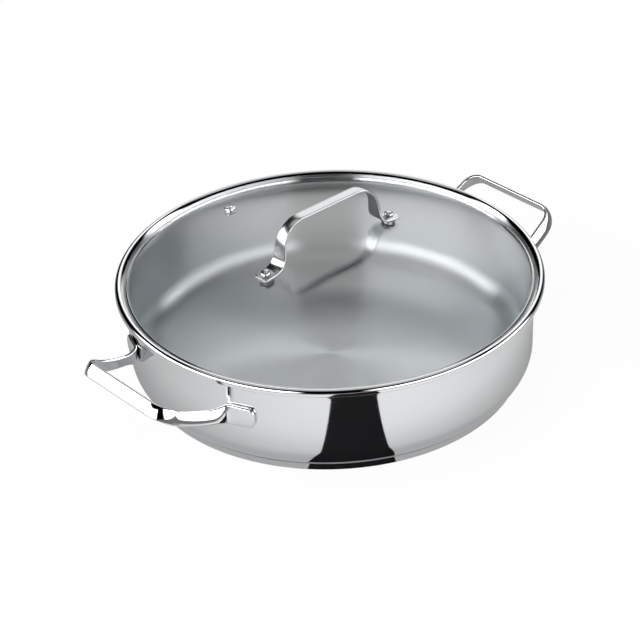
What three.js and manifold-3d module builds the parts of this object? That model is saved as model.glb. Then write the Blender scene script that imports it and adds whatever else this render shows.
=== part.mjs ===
// Serving pan with a domed glass lid.
// A drawn steel pan with a curled pouring lip, an encapsulated base, two welded strip handles,
// and a glass lid with a thin steel edge band, a bow handle on two rivets and a steam vent.
// Millimetres, +Z up, origin at the centre of the base's underside, side handles along X.

import * as THREE from 'three';
import { mergeVertices } from 'three/addons/utils/BufferGeometryUtils.js';
import Module from 'manifold-3d';

const wasm = await Module();
wasm.setup();

// Pan: drawn sheet, measured on its outer face.
const sheet = 1.2;
const wallRadius = 139.5;
const cornerRadius = 15.9;
const lipReach = 7.2;
const rimHeight = 72.5;
const flareAngle = THREE.MathUtils.degToRad(40);
const flareLength = 1.2;
const curlRadius = 2.5;
const curlDrop = 1.6;

// Base: an aluminium disc closed in by a steel cap.
const capSheet = 0.8;
const coreThickness = 3.3;
const capInset = 7.4;
const capDraft = 0.8;
const capEdge = 1.8;
const seamGap = 0.3;
const coreGap = 0.3;

// Side handles: one bent strip each, its two feet welded to the wall.
const weldGap = 0.3;
const stripThickness = 2.4;
const stripEdge = 1;
const stripCrown = 0.35;
const barReach = 41.9;
const barDrop = 11.4;
const barHalfLength = 40;
const barHalfWidth = 4.9;
const armHalfWidth = 5.1;
const footHalfWidth = 7.3;
const footDrop = 30;
const footFarAngle = THREE.MathUtils.degToRad(27.7);
const footNearAngle = THREE.MathUtils.degToRad(21.9);
const footCorner = 5;
const footLength = 5;
const footBend = 5;
const barBend = 12;
const armTwist = THREE.MathUtils.degToRad(12);
const riseOffset = 4;
const taperLength = 14;
const stationLength = 12;

// Lid: a glass dome held in a thin steel channel.
const domeRise = 24.56;
const glassInset = 0.45;
const glassThickness = 3.4;
const bandSheet = 0.5;
const bandGap = 0.2;
const bandTopFlange = 0.7;
const bandLowFlange = 1;
const seatGap = 0.3;

// Lid handle: a bow of flat strip on two rivets, wide at its feet and narrow along its top.
const bowFootWidth = 12.4;
const bowTopWidth = 8.2;
const bowTaperHeight = 3.6;
const bowTaperLength = 23;
const bowThickness = 2;
const bowEdge = 0.8;
const bowCrown = 0.3;
const bowTop = 32.6;
const bowLeanAngle = THREE.MathUtils.degToRad(7);
const bowTopBend = 18;
const bowFootBend = 10;
const rivetReach = 55.8;
const bowHeel = 12.2;
const bowToe = 5.2;

// Rivet stack, measured along each rivet from the glass.
const stackGap = 0.3;
const gasketThickness = 1.6;
const gasketRadius = 5;
const lowerGasketThickness = 1.2;
const washerThickness = 1;
const washerRadius = 4.6;
const shankRadius = 2.1;
const shankHole = 2.5;
const glassHole = 3.2;
const headRadius = 3.4;
const headHeight = 2.2;
const tailRadius = 3.2;
const tailHeight = 1.6;

// Steam vent: a flanged eyelet through the glass.
const ventInset = 34.05;
const ventFlange = 4.6;
const ventTube = 3;
const ventBore = 1.9;
const ventFlangeHeight = 0.9;
const ventTail = 1.4;

const ringSegments = 64;
const smallSegments = 16;

const steel = { color: 0xd4d6d8, roughness: 0.12, metalness: 1 };
const satin = { color: 0xc4c8cb, roughness: 0.3, metalness: 1 };
const aluminium = { color: 0xb9bcbf, roughness: 0.5, metalness: 1 };
const clear = { color: 0xdde6e6, roughness: 0.02, metalness: 0, transparent: true, opacity: 0.25 };
const rubber = { color: 0x1d1e20, roughness: 0.6, metalness: 0 };

const point = (r, z) => new THREE.Vector2(r, z);

// Points of an arc in the profile plane, from angle a to angle b in degrees.
function arc(centre, radius, a, b, steps) {
  const rad = THREE.MathUtils.degToRad;
  const points = [];
  for (let i = 0; i <= steps; i += 1) {
    const angle = rad(a + (b - a) * i / steps);
    points.push(point(centre.x + radius * Math.cos(angle), centre.y + radius * Math.sin(angle)));
  }
  return points;
}

// A closed surface with shared vertices, no empty triangles, and its faces pointing out.
function closed(source) {
  const plain = source.clone();
  plain.deleteAttribute('normal');
  plain.deleteAttribute('uv');
  const merged = mergeVertices(plain, 1e-4);
  const at = merged.attributes.position;
  const index = merged.index.array;
  const a = new THREE.Vector3();
  const b = new THREE.Vector3();
  const c = new THREE.Vector3();
  const triangles = [];
  let volume = 0;
  for (let i = 0; i < index.length; i += 3) {
    const [p, q, r] = [index[i], index[i + 1], index[i + 2]];
    if (p === q || q === r || r === p) continue;
    a.fromBufferAttribute(at, p);
    b.fromBufferAttribute(at, q);
    c.fromBufferAttribute(at, r);
    volume += a.dot(b.cross(c));
    triangles.push(p, q, r);
  }
  if (volume < 0) triangles.reverse();
  merged.setIndex(triangles);
  return merged;
}

function toSolid(geometry) {
  const shape = closed(geometry);
  const vertProperties = new Float32Array(shape.attributes.position.array);
  const triVerts = new Uint32Array(shape.index.array);
  return new wasm.Manifold(new wasm.Mesh({ numProp: 3, vertProperties, triVerts }));
}

function fromSolid(solid) {
  const mesh = solid.getMesh();
  const geometry = new THREE.BufferGeometry();
  geometry.setAttribute('position', new THREE.BufferAttribute(new Float32Array(mesh.vertProperties), 3));
  geometry.setIndex(Array.from(mesh.triVerts));
  return geometry;
}

// A body of revolution about Z from a profile of (radius, height) points.
function turned(profile, segments = ringSegments) {
  const geometry = new THREE.LatheGeometry(profile, segments);
  geometry.rotateX(Math.PI / 2);
  return closed(geometry);
}

function piece(name, geometry, look) {
  const mesh = new THREE.Mesh(geometry, new THREE.MeshStandardMaterial(look));
  mesh.name = name;
  return mesh;
}

// A polyline in a plane with its inner corners rounded.
function rounded(corners, radii, steps) {
  const points = [corners[0].clone()];
  for (let i = 1; i < corners.length - 1; i += 1) {
    const back = corners[i - 1].clone().sub(corners[i]).normalize();
    const ahead = corners[i + 1].clone().sub(corners[i]).normalize();
    const half = Math.acos(back.dot(ahead)) / 2;
    const reach = radii[i - 1] / Math.tan(half);
    const from = corners[i].clone().addScaledVector(back, reach);
    const to = corners[i].clone().addScaledVector(ahead, reach);
    const inward = back.clone().add(ahead).normalize();
    const centre = corners[i].clone().addScaledVector(inward, radii[i - 1] / Math.sin(half));
    const start = Math.atan2(from.y - centre.y, from.x - centre.x);
    const end = Math.atan2(to.y - centre.y, to.x - centre.x);
    const sweep = Math.atan2(Math.sin(end - start), Math.cos(end - start));
    for (let k = 0; k <= steps; k += 1) {
      const angle = start + sweep * k / steps;
      const spoke = point(Math.cos(angle), Math.sin(angle));
      points.push(centre.clone().addScaledVector(spoke, radii[i - 1]));
    }
  }
  points.push(corners[corners.length - 1].clone());
  return points;
}

// The strip's cross-section: width along x, thickness along y, edges rounded, one face crowned.
function stripSection(halfWidth, thickness, edge, crown) {
  const shape = new THREE.Shape();
  const h = thickness / 2;
  const inner = halfWidth - edge;
  const corner = (x, y, a, b) => arc(point(x, y), edge, a, b, 2);
  const outline = [
    ...corner(inner, edge - h, -90, 0),
    ...corner(inner, h - edge, 0, 90),
  ];
  for (let k = 1; crown > 0 && k <= 3; k += 1) {
    const u = inner * (1 - k / 2);
    outline.push(point(u, h + crown * (1 - (u / inner) ** 2)));
  }
  outline.push(...corner(-inner, h - edge, 90, 180), ...corner(-inner, edge - h, 180, 270));
  shape.setFromPoints(outline);
  return shape;
}

// A strip of that section along stations, each with a centre, a width direction, a face direction
// and a half width.
function strip(shape, sectionHalfWidth, edge, stations) {
  const steps = stations.length - 1;
  const geometry = new THREE.ExtrudeGeometry(shape, { depth: 1, steps, bevelEnabled: false });
  const at = geometry.attributes.position;
  const place = new THREE.Vector3();
  const core = sectionHalfWidth - edge;
  for (let i = 0; i < at.count; i += 1) {
    const station = stations[Math.round(at.getZ(i) * steps)];
    const x = at.getX(i);
    const wide = station.halfWidth - edge;
    const across = Math.abs(x) > core ? Math.sign(x) * (wide + Math.abs(x) - core) : x * wide / core;
    place.copy(station.centre);
    place.addScaledVector(station.across, across);
    place.addScaledVector(station.face, at.getY(i));
    at.setXYZ(i, place.x, place.y, place.z);
  }
  return closed(geometry);
}

const smooth = (t) => THREE.MathUtils.smoothstep(t, 0, 1);

// Pan body.
const rimRadius = wallRadius + lipReach;
const panUnderside = capSheet + coreThickness;
const cornerCentre = point(wallRadius - cornerRadius, panUnderside + cornerRadius);
const curlCentre = point(rimRadius - curlRadius, rimHeight - curlRadius);
const flareTilt = THREE.MathUtils.radToDeg(flareAngle);
const wallMiddle = wallRadius - sheet / 2;
const curlMiddle = curlRadius - sheet / 2;
const curlStart = point(
  curlCentre.x - curlMiddle * Math.cos(flareAngle),
  curlCentre.y + curlMiddle * Math.sin(flareAngle),
);
const flareOut = curlStart.x - wallMiddle - flareLength * Math.sin(flareAngle);
const flareRadius = flareOut / (1 - Math.cos(flareAngle));
const flareStart = curlStart.y - flareLength * Math.cos(flareAngle) - flareRadius * Math.sin(flareAngle);
const flareCentre = point(wallMiddle + flareRadius, flareStart);
const innerWall = wallRadius - sheet;
const floorTop = panUnderside + sheet;
const curlEnd = point(curlCentre.x + curlMiddle, curlCentre.y - curlDrop);

const panProfile = [
  point(0, panUnderside),
  ...arc(cornerCentre, cornerRadius, -90, 0, 6),
  ...arc(flareCentre, flareRadius - sheet / 2, 180, 180 - flareTilt, 3),
  ...arc(curlCentre, curlRadius - sheet, 180 - flareTilt, 0, 4),
  ...arc(curlEnd, sheet / 2, -180, 0, 3),
  ...arc(curlCentre, curlRadius, 0, 180 - flareTilt, 6),
  ...arc(flareCentre, flareRadius + sheet / 2, 180 - flareTilt, 180, 3),
  ...arc(cornerCentre, cornerRadius - sheet, 0, -90, 5),
  point(0, floorTop),
];
const panBody = piece('pan_body', turned(panProfile), satin);

// Base cap and core, both kept clear of the pan's rounded corner.
const capTopRadius = wallRadius - capInset;
const capFootRadius = capTopRadius - capDraft;
const cornerClear = cornerRadius + seamGap;
const underCorner = (r) => cornerCentre.y - Math.sqrt(cornerClear ** 2 - (r - cornerCentre.x) ** 2);
const capInner = capTopRadius - capSheet;
const capProfile = [
  point(0, 0),
  ...arc(point(capFootRadius - capEdge, capEdge), capEdge, -90, 0, 3),
  point(capTopRadius, underCorner(capTopRadius)),
  point(capInner, underCorner(capInner)),
  point(capFootRadius - capSheet, capSheet),
  point(0, capSheet),
];
const baseCap = piece('base_cap', turned(capProfile), steel);

const coreRadius = capFootRadius - capSheet - coreGap;
const coreFlat = Math.min(cornerCentre.x, coreRadius - coreThickness);
const coreProfile = [
  point(0, capSheet),
  point(coreRadius, capSheet),
  point(coreRadius, underCorner(coreRadius)),
  point((coreRadius + coreFlat) / 2, underCorner((coreRadius + coreFlat) / 2)),
  point(coreFlat, underCorner(coreFlat)),
  point(coreFlat - coreThickness, panUnderside),
  point(0, panUnderside),
];
const baseCore = piece('base_core', turned(coreProfile), aluminium);

// Side handle on the +X side.
const barX = wallRadius + barReach;
const barHeight = rimHeight - barDrop;
const footHeight = rimHeight - footDrop;

// Stations of the bent strip, from one foot out along its arm, over the bar and back to the other foot.
function handleStations() {
  const footRadius = wallRadius + weldGap + stripThickness / 2;
  const foot = [];
  for (let i = 0; i <= 5; i += 1) {
    const angle = footFarAngle + (footNearAngle - footFarAngle) * i / 5;
    foot.push(point(footRadius * Math.cos(angle), footRadius * Math.sin(angle)));
  }
  const last = foot[foot.length - 1];
  const along = point(Math.sin(footNearAngle), -Math.cos(footNearAngle));
  const bend = last.clone().addScaledVector(along, footLength);
  const corners = [last, bend, point(barX, barHalfLength), point(barX, 0)];
  const plan = [...foot.slice(0, -1), ...rounded(corners, [footBend, barBend], 6)];
  const dense = [plan[0]];
  for (let i = 1; i < plan.length; i += 1) {
    const parts = Math.ceil(plan[i].distanceTo(plan[i - 1]) / stationLength);
    for (let k = 1; k <= parts; k += 1) dense.push(plan[i - 1].clone().lerp(plan[i], k / parts));
  }
  const outStart = footRadius * Math.cos(footFarAngle) + riseOffset;
  const rise = (barHeight - footHeight) / (barX - outStart) ** 2;
  const half = [];
  let run = 0;
  dense.forEach((p, i) => {
    if (i > 0) run += p.distanceTo(dense[i - 1]);
    const out = Math.max(p.x - outStart, 0);
    const toArm = smooth(out / taperLength);
    const toBar = smooth((p.x - barX + taperLength) / taperLength);
    let width = THREE.MathUtils.lerp(footHalfWidth, armHalfWidth, toArm);
    width = THREE.MathUtils.lerp(width, barHalfWidth, toBar);
    const fromEnd = Math.max(footCorner - run, 0);
    width -= footCorner - Math.sqrt(footCorner ** 2 - fromEnd ** 2);
    half.push({
      centre: new THREE.Vector3(p.x, p.y, footHeight + rise * out ** 2),
      lean: Math.atan(2 * rise * out),
      twist: armTwist * toArm * (1 - toBar),
      halfWidth: width,
    });
  });
  const mirrored = half.slice(0, -1).reverse().map((s) => ({
    ...s,
    centre: s.centre.clone().setY(-s.centre.y),
    twist: -s.twist,
  }));
  const all = [...half, ...mirrored];
  all.forEach((s, i) => {
    const before = all[Math.max(i - 1, 0)].centre;
    const after = all[Math.min(i + 1, all.length - 1)].centre;
    const heading = after.clone().sub(before).normalize();
    const up = new THREE.Vector3(-Math.sin(s.lean), -Math.tan(s.twist), Math.cos(s.lean));
    s.across = up.addScaledVector(heading, -up.dot(heading)).normalize();
    s.face = s.across.clone().cross(heading).normalize();
  });
  return all;
}
const handleShape = strip(
  stripSection(armHalfWidth, stripThickness, stripEdge, stripCrown),
  armHalfWidth,
  stripEdge,
  handleStations(),
);
const handleRight = piece('side_handle_right', handleShape, steel);
const handleLeft = piece('side_handle_left', handleShape, steel);
const leftSide = new THREE.Group();
leftSide.rotation.z = Math.PI;
leftSide.add(handleLeft);

// Lid dome: the outer face is part of a sphere; the edge channel rests just clear of the flare.
const glassRadius = wallRadius - glassInset;
const domeRadius = (glassRadius ** 2 + domeRise ** 2) / (2 * domeRise);
const edgeTilt = Math.asin(glassRadius / domeRadius);
const edgeUp = point(Math.sin(edgeTilt), Math.cos(edgeTilt));
const edgeOut = point(Math.cos(edgeTilt), -Math.sin(edgeTilt));
const bandUnder = glassThickness + bandGap + bandSheet;
const bandOver = bandGap + bandSheet;
const restRadius = glassRadius - edgeUp.x * bandUnder + edgeOut.x * bandOver;
const restReach = flareRadius + sheet / 2 + seatGap;
const restHeight = flareCentre.y + Math.sqrt(restReach ** 2 - (flareCentre.x - restRadius) ** 2);
const edgeHeight = restHeight + edgeUp.y * bandUnder - edgeOut.y * bandOver;
const domeTop = edgeHeight + domeRise;
const domeCentre = domeTop - domeRadius;
const domeAt = (r) => domeCentre + Math.sqrt(domeRadius ** 2 - r ** 2);
const domeTilt = (r) => Math.asin(r / domeRadius);

const innerDome = domeRadius - glassThickness;
const tiltDegrees = THREE.MathUtils.radToDeg(edgeTilt);
const glassProfile = [
  ...arc(point(0, domeCentre), domeRadius, 90, 90 - tiltDegrees, 7),
  ...arc(point(0, domeCentre), innerDome, 90 - tiltDegrees, 90, 5),
];
glassProfile[0].x = 0;
glassProfile[glassProfile.length - 1].x = 0;

// A group standing on the dome with its Z axis along the glass's normal.
function onDome(reach, bearing) {
  const group = new THREE.Group();
  group.rotation.order = 'ZYX';
  group.rotation.set(0, domeTilt(reach), bearing);
  group.position.set(reach * Math.cos(bearing), reach * Math.sin(bearing), domeAt(reach));
  group.updateMatrixWorld(true);
  return group;
}

// A round cutter through the glass or the bow, along the normal at a seat.
function cutter(radius, from, to, seat) {
  const geometry = new THREE.CylinderGeometry(radius, radius, to - from, smallSegments);
  geometry.rotateX(Math.PI / 2);
  geometry.translate(0, 0, (from + to) / 2);
  geometry.applyMatrix4(seat.matrixWorld);
  return toSolid(geometry);
}

const rightSeat = onDome(rivetReach, 0);
const leftSeat = onDome(rivetReach, Math.PI);
const ventSeat = onDome(glassRadius - ventInset, Math.PI / 2);

let glassSolid = toSolid(turned(glassProfile));
[rightSeat, leftSeat].forEach((seat) => {
  glassSolid = glassSolid.subtract(cutter(glassHole, -2 * glassThickness, glassThickness, seat));
});
const ventHole = ventTube + stackGap;
glassSolid = glassSolid.subtract(cutter(ventHole, -2 * glassThickness, glassThickness, ventSeat));
const lidGlass = piece('lid_glass', closed(fromSolid(glassSolid)), clear);

// Edge channel round the glass, drawn in the glass's own tilted edge directions.
const edgeTop = point(glassRadius, edgeHeight);
const atEdge = (out, up) => edgeTop.clone().addScaledVector(edgeOut, out).addScaledVector(edgeUp, up);
const underBand = -glassThickness - bandGap;
const bandProfile = [
  atEdge(-bandTopFlange, bandGap),
  atEdge(bandGap, bandGap),
  atEdge(bandGap, underBand),
  atEdge(-bandLowFlange, underBand),
  atEdge(-bandLowFlange, underBand - bandSheet),
  atEdge(bandOver - bandSheet, underBand - bandSheet),
  atEdge(bandOver, underBand),
  atEdge(bandOver, bandGap),
  atEdge(bandOver - bandSheet, bandOver),
  atEdge(-bandTopFlange, bandOver),
];
bandProfile.push(bandProfile[0].clone());
const rimBand = piece('lid_rim_band', turned(bandProfile), steel);

// Bow handle in the XZ plane: flat top, leaning legs, feet lying along the dome's slope.
const footLevel = stackGap + gasketThickness + stackGap + bowThickness / 2;
const footTilt = domeTilt(rivetReach);
const footAlong = point(Math.cos(footTilt), -Math.sin(footTilt));
const footCentre = point(
  rivetReach + footLevel * Math.sin(footTilt),
  domeAt(rivetReach) + footLevel * Math.cos(footTilt),
);
const heel = footCentre.clone().addScaledVector(footAlong, -bowHeel);
const topHeight = domeTop + bowTop - bowThickness / 2;
const topCorner = point(heel.x - (topHeight - heel.y) * Math.tan(bowLeanAngle), topHeight);
const toe = footCentre.clone().addScaledVector(footAlong, bowToe);
const bowHalf = rounded([toe, heel, topCorner, point(0, topCorner.y)], [bowFootBend, bowTopBend], 9);
const bowPath = [...bowHalf, ...bowHalf.slice(0, -1).reverse().map((p) => point(-p.x, p.y))];
const bowStations = bowPath.map((p, i) => {
  const before = bowPath[Math.max(i - 1, 0)];
  const after = bowPath[Math.min(i + 1, bowPath.length - 1)];
  const heading = after.clone().sub(before).normalize();
  const narrow = THREE.MathUtils.smoothstep(p.y - domeTop - bowTaperHeight, 0, bowTaperLength);
  return {
    centre: new THREE.Vector3(p.x, 0, p.y),
    across: new THREE.Vector3(0, 1, 0),
    face: new THREE.Vector3(heading.y, 0, -heading.x),
    halfWidth: THREE.MathUtils.lerp(bowFootWidth, bowTopWidth, narrow) / 2,
  };
});
const bowShape = stripSection(bowFootWidth / 2, bowThickness, bowEdge, bowCrown);
let bowSolid = toSolid(strip(bowShape, bowFootWidth / 2, bowEdge, bowStations));
[rightSeat, leftSeat].forEach((seat) => {
  const bowHole = cutter(shankHole, footLevel - bowThickness, footLevel + bowThickness, seat);
  bowSolid = bowSolid.subtract(bowHole);
});
const bow = piece('lid_handle', closed(fromSolid(bowSolid)), steel);

// A flat ring with a hole and broken outer edges, starting at a height.
function ring(hole, radius, from, height) {
  const edge = Math.min(height, radius - hole) / 4;
  return turned([
    point(hole, from),
    point(radius - edge, from),
    point(radius, from + edge),
    point(radius, from + height - edge),
    point(radius - edge, from + height),
    point(hole, from + height),
    point(hole, from),
  ], smallSegments);
}

// One rivet with its gaskets and washer, from the head down to the formed tail.
function rivetStack(seat, side) {
  const headFrom = footLevel + bowThickness / 2 + bowCrown + stackGap;
  const lowerTop = -glassThickness - stackGap;
  const lowerGasket = lowerTop - lowerGasketThickness;
  const washerTop = lowerGasket - stackGap;
  const washerUnder = washerTop - washerThickness;
  const tailTop = washerUnder - stackGap;
  const domeOf = (radius, height) => (radius ** 2 + height ** 2) / (2 * height);
  const headBall = domeOf(headRadius, headHeight);
  const tailBall = domeOf(tailRadius, tailHeight);
  const headSweep = THREE.MathUtils.radToDeg(Math.asin(headRadius / headBall));
  const tailSweep = THREE.MathUtils.radToDeg(Math.asin(tailRadius / tailBall));
  const headDome = arc(point(0, headFrom + headHeight - headBall), headBall, 90 - headSweep, 90, 4);
  const tailDome = arc(point(0, tailTop - tailHeight + tailBall), tailBall, -90, tailSweep - 90, 3);
  tailDome[0].x = 0;
  headDome[4].x = 0;
  const profile = [
    ...tailDome,
    point(shankRadius, tailTop),
    point(shankRadius, headFrom),
    ...headDome,
  ];
  const upperRing = ring(shankHole, gasketRadius, stackGap, gasketThickness);
  const lowerRing = ring(shankHole, gasketRadius, lowerGasket, lowerGasketThickness);
  const washerRing = ring(shankHole, washerRadius, washerUnder, washerThickness);
  seat.add(
    piece(`lid_rivet_${side}`, turned(profile, smallSegments), steel),
    piece(`upper_gasket_${side}`, upperRing, rubber),
    piece(`lower_gasket_${side}`, lowerRing, rubber),
    piece(`rivet_washer_${side}`, washerRing, steel),
  );
  return seat;
}

// Vent eyelet: a flange on the glass, a tube through it, and a turned-out tail under a washer.
const ventUnder = -glassThickness - stackGap;
const ventWasher = ventUnder - washerThickness;
const ventFoot = ventWasher - stackGap - ventTail;
const eyelet = turned([
  point(ventBore, ventFoot),
  point(ventTube + ventTail, ventFoot),
  point(ventTube + ventTail, ventFoot + ventTail / 2),
  point(ventTube, ventFoot + ventTail),
  point(ventTube, stackGap),
  point(ventFlange, stackGap),
  point(ventFlange - ventFlangeHeight / 3, stackGap + ventFlangeHeight),
  point(ventBore + ventFlangeHeight, stackGap + ventFlangeHeight),
  point(ventBore, stackGap),
  point(ventBore, ventFoot),
], smallSegments);
ventSeat.add(
  piece('vent_eyelet', eyelet, steel),
  piece('vent_washer', ring(ventHole, ventFlange, ventWasher, washerThickness), steel),
);

const pan = new THREE.Group();
pan.add(panBody, baseCap, baseCore, handleRight, leftSide);

const lid = new THREE.Group();
lid.add(lidGlass, rimBand, bow, rivetStack(rightSeat, 'right'), rivetStack(leftSeat, 'left'), ventSeat);

const servingPan = new THREE.Group();
servingPan.add(pan, lid);

export default servingPan;
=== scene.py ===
"""Serving pan with a domed glass lid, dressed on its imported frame.

Every piece that shows is rebuilt as a fine mesh in metres, in the frame's own axes: +Z up along the
pan's axis, the side handles along X, the lid's steam vent towards +Y.
"""

import math
from collections import namedtuple

import bmesh
import bpy
from bpy.props import FloatProperty, FloatVectorProperty, IntProperty, PointerProperty
from mathutils import Matrix, Vector


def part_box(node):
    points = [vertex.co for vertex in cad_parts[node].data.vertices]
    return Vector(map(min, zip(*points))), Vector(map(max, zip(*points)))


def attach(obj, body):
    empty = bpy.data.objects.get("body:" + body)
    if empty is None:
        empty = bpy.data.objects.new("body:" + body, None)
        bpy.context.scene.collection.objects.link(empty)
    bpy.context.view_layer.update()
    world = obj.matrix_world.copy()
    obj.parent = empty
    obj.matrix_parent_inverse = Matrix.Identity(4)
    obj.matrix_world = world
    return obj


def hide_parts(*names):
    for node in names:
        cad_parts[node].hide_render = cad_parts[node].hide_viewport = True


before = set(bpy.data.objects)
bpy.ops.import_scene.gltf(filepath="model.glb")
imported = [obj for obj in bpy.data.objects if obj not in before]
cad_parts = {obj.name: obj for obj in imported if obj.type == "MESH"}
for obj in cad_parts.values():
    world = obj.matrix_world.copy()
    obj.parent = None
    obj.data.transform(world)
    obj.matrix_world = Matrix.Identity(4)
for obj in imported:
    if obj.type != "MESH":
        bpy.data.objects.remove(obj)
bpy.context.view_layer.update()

bl_info = {
    "name": "Serving Pan With Glass Lid",
    "version": (1, 0, 0),
    "blender": (4, 5, 0),
    "location": "View3D > Sidebar > Serving Pan",
    "description": "Builds a polished steel serving pan and its glass lid on the CAD frame",
    "category": "Add Mesh",
}

MM = 0.001

# How finely curves are drawn: the number of facets along each kind of bend.
CORNER_STEPS = 24
FLARE_STEPS = 14
CURL_STEPS = 28
ROLL_STEPS = 16
HEM_STEPS = 10
FOOT_STEPS = 24
GRIP_BEND_STEPS = 20
GRIP_TIP_STEPS = 9
BOW_BEND_STEPS = 24
BOW_TIP_STEPS = 6
DOME_STEPS = 48
HEAD_STEPS = 18
TAIL_STEPS = 12
EDGE_STEPS = 6
RING_EDGE_STEPS = 4
DRILL_SIDES = 48

# The longest facet along an outline or a path.
TURNED_FACET = 2.5 * MM
RIVET_FACET = 1.0 * MM
BAND_FACET = 0.8 * MM
GRIP_FACET = 1.2 * MM
BOW_FACET = 0.9 * MM

# Edges that fold more than this stay crisp.
CREASE = math.radians(38)
# A drill's length, in thicknesses of what it goes through.
DRILL_DEPTH = 6
# Points nearer than this are one point.
SAME_PLACE = 1e-6
# Keeps the pan's own axis from dividing by nothing.
AXIS_GUARD = 1e-9

PAN_LOW, PAN_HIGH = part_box("pan_body")
CAP_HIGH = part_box("base_cap")[1]
GLASS_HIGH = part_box("lid_glass")[1]
BOW_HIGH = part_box("lid_handle")[1]


def length(name, description, default):
    """A size in metres."""
    return FloatProperty(
        name=name, description=description, default=default, min=0.0, precision=5, unit="LENGTH"
    )


def angle(name, description, degrees):
    """An angle, given in degrees and kept in radians."""
    return FloatProperty(
        name=name, description=description, default=math.radians(degrees), unit="ROTATION"
    )


def share(name, description, default):
    """A part of a whole, from 0 to 1."""
    return FloatProperty(
        name=name, description=description, default=default, min=0.0, max=1.0, subtype="FACTOR"
    )


def colour(name, description, default):
    """A linear colour."""
    return FloatVectorProperty(
        name=name, description=description, default=default, min=0.0, max=1.0, subtype="COLOR"
    )


def strength(name, description, default):
    """A brightness, or another plain number from 0 up."""
    return FloatProperty(name=name, description=description, default=default, min=0.0)


def count(name, description, default):
    """A whole number of facets."""
    return IntProperty(name=name, description=description, default=default, min=3)


def fade(name, description, start, end):
    """Two angles in degrees between which something fades in."""
    ends = (math.radians(start), math.radians(end))
    return FloatVectorProperty(
        name=name, description=description, default=ends, size=2, unit="ROTATION"
    )


def stretch(name, description, start, end):
    """Two distances between which something fades in."""
    return FloatVectorProperty(
        name=name, description=description, default=(start, end), size=2, unit="LENGTH"
    )


class PanSizes(bpy.types.PropertyGroup):
    """The drawn body and the cap under its base."""

    rim_radius: length("Rim radius", "Outside of the curled lip", PAN_HIGH.x)
    rim_height: length("Rim height", "Top of the lip above the table", PAN_HIGH.z)
    underside: length("Underside", "Height of the body's own underside", PAN_LOW.z)
    sheet: length("Sheet", "Thickness of the drawn steel", 1.2 * MM)
    wall_radius: length("Wall radius", "Outside of the upright wall", 139.5 * MM)
    corner_radius: length("Corner radius", "Outside radius where floor meets wall", 15.9 * MM)
    flare_angle: angle("Flare angle", "How far the lip leans out", 40)
    flare_length: length("Flare length", "Straight run of the flare below the curl", 1.2 * MM)
    curl_radius: length("Curl radius", "Outside radius of the rolled edge", 2.5 * MM)
    curl_drop: length("Curl drop", "How far the rolled edge turns down", 1.6 * MM)
    cap_radius: length("Cap radius", "Outside of the base cap at its top", CAP_HIGH.x)
    cap_draft: length("Cap draft", "How much the cap narrows to its foot", 0.8 * MM)
    cap_edge: length("Cap edge", "Radius of the cap's bottom edge", 1.8 * MM)
    cap_sheet: length("Cap sheet", "Thickness of the cap", 0.8 * MM)
    seam_gap: length("Seam gap", "Clearance between cap and body", 0.3 * MM)
    segments: count("Segments", "Facets round each large turned piece", 192)


class GripSizes(bpy.types.PropertyGroup):
    """The two welded side handles."""

    weld_gap: length("Weld gap", "Clearance between foot and wall", 0.3 * MM)
    thickness: length("Thickness", "Thickness of the strip", 2.4 * MM)
    edge: length("Edge", "Radius of the strip's edges", 1.0 * MM)
    crown: length("Crown", "Swell of the strip's outer face", 0.35 * MM)
    bar_reach: length("Bar reach", "Middle of the bar from the pan's axis", 181.37 * MM)
    bar_height: length("Bar height", "Middle of the bar above the table", 61.1 * MM)
    bar_half_length: length("Bar half length", "Half the bar before its bends", 40.0 * MM)
    bar_half_width: length("Bar half width", "Half the bar's width", 4.9 * MM)
    arm_half_width: length("Arm half width", "Half the arm's width", 5.1 * MM)
    foot_half_width: length("Foot half width", "Half the foot's width", 7.3 * MM)
    foot_height: length("Foot height", "Middle of the foot above the table", 42.5 * MM)
    foot_far: angle("Foot end", "Bearing of the foot's outer end", 27.7)
    foot_near: angle("Foot start", "Bearing where the foot leaves the wall's curve", 21.9)
    foot_corner: length("Foot corner", "Radius of the foot's corners", 5.0 * MM)
    foot_length: length("Foot length", "Straight run of the foot off the wall", 5.0 * MM)
    foot_bend: length("Foot bend", "Bend radius between foot and arm", 5.0 * MM)
    bar_bend: length("Bar bend", "Bend radius between arm and bar", 12.0 * MM)
    twist: angle("Twist", "How far the arms lean together", 21)
    rise_offset: length("Rise offset", "Where the arm starts to climb, past its foot", 4.0 * MM)
    taper: length("Taper", "Run over which the strip changes width", 14.0 * MM)
    tip_scale: share("Tip scale", "Size of the strip's section at its very ends", 0.75)


class LidSizes(bpy.types.PropertyGroup):
    """The glass dome and the steel band round its edge."""

    glass_radius: length("Glass radius", "Outside of the glass", GLASS_HIGH.x)
    dome_top: length("Dome top", "Top of the glass above the table", GLASS_HIGH.z)
    dome_rise: length("Dome rise", "Height of the dome over its edge", 24.56 * MM)
    glass_thickness: length("Glass thickness", "Thickness of the glass", 3.4 * MM)
    band_sheet: length("Band sheet", "Thickness of the edge band", 0.5 * MM)
    band_gap: length("Band gap", "Clearance between band and glass", 0.2 * MM)
    band_top: length("Band top flange", "Width of the band's upper flange", 0.7 * MM)
    band_low: length("Band lower flange", "Width of the band's lower flange", 1.0 * MM)


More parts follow.
